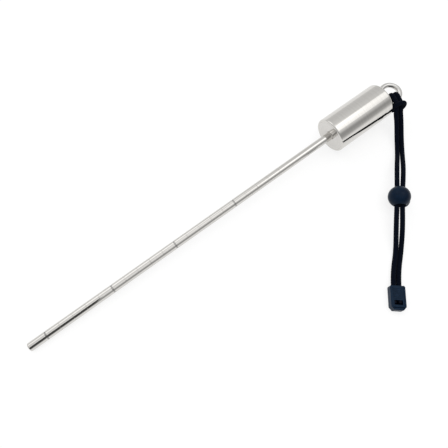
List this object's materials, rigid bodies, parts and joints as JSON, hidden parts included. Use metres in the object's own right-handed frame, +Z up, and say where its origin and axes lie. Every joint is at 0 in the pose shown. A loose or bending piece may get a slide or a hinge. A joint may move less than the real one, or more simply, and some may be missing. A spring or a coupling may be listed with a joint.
{
  "type": "diver pointer stick",
  "caption": "Stainless pointer stick with centimetre rings, rattle barrel, ring and wrist lanyard, used by divers to point, probe and make noise.",
  "frame": {"origin": "on the surface it lies on, below the middle of the stick without its lanyard", "axes": "+X along the stick from its tip towards the ring, +Z up from the surface, +Y to the left; the lanyard lies on the -Y side"},
  "size_m": [0.3204, 0.1382, 0.0284],
  "materials": {
    "rod_steel": "turned and polished stainless",
    "cap_steel": "polished flat stainless",
    "barrel_steel": "polished stainless with fine turning lines",
    "ball_steel": "polished bearing ball",
    "ring_steel": "polished round wire",
    "spring_steel": "drawn spring wire",
    "cord": "round braided nylon",
    "melted_cord": "melted and hardened cord end",
    "lock_plastic": "moulded, lightly textured",
    "clip_plastic": "moulded, slight sheen"
  },
  "bodies": {
    "stick": {"pointer_rod": "rod_steel", "rattle_front_cap": "cap_steel", "rattle_barrel": "barrel_steel", "rattle_rear_cap": "cap_steel", "eye_ring": "ring_steel"},
    "rattle_ball_a": {"rattle_ball_1": "ball_steel"},
    "rattle_ball_b": {"rattle_ball_2": "ball_steel"},
    "rattle_ball_c": {"rattle_ball_3": "ball_steel"},
    "lanyard": {"lanyard_hitch": "cord", "lanyard_strand_left": "cord", "lanyard_strand_right": "cord", "cord_end_bead_left": "melted_cord", "cord_end_bead_right": "melted_cord", "clip_body": "clip_plastic"},
    "ball_lock": {"ball_lock_body": "lock_plastic", "ball_lock_spring": "spring_steel"},
    "lock_plunger": {"ball_lock_plunger": "lock_plastic"},
    "clip_lid": {"clip_lid": "clip_plastic"}
  },
  "joints": [
    {"name": "rattle_a_roll", "type": "slide", "parent": "stick", "child": "rattle_ball_a", "axis": [0.9992, 0, 0.0407], "range_m": [0, 0.03275]},
    {"name": "rattle_b_roll", "type": "slide", "parent": "stick", "child": "rattle_ball_b", "axis": [0.9992, 0, 0.0407], "range_m": [0, 0.03275]},
    {"name": "rattle_c_roll", "type": "slide", "parent": "stick", "child": "rattle_ball_c", "axis": [0.9992, 0, 0.0407], "range_m": [0, 0.03275]},
    {"name": "lanyard_swing", "type": "hinge", "parent": "stick", "child": "lanyard", "pos_m": [0.15123, 0, 0.01565], "axis": [0, 0, 1], "range_deg": [0, 220]},
    {"name": "ball_lock_slide", "type": "slide", "parent": "lanyard", "child": "ball_lock", "axis": [-0.7009, -0.7133, 0], "range_m": [-0.01, 0.012]},
    {"name": "ball_lock_press", "type": "slide", "parent": "ball_lock", "child": "lock_plunger", "axis": [-0.4391, 0.4315, 0.788], "range_m": [0, 0.0015], "stiffness_N_per_m": 1000, "springref_m": -0.002, "deforming": ["ball_lock_spring"]},
    {"name": "clip_lid_hinge", "type": "hinge", "parent": "lanyard", "child": "clip_lid", "pos_m": [0.04654, -0.12119, 0.0047], "axis": [0.7604, -0.6494, 0], "range_deg": [0, 100]}
  ]
}
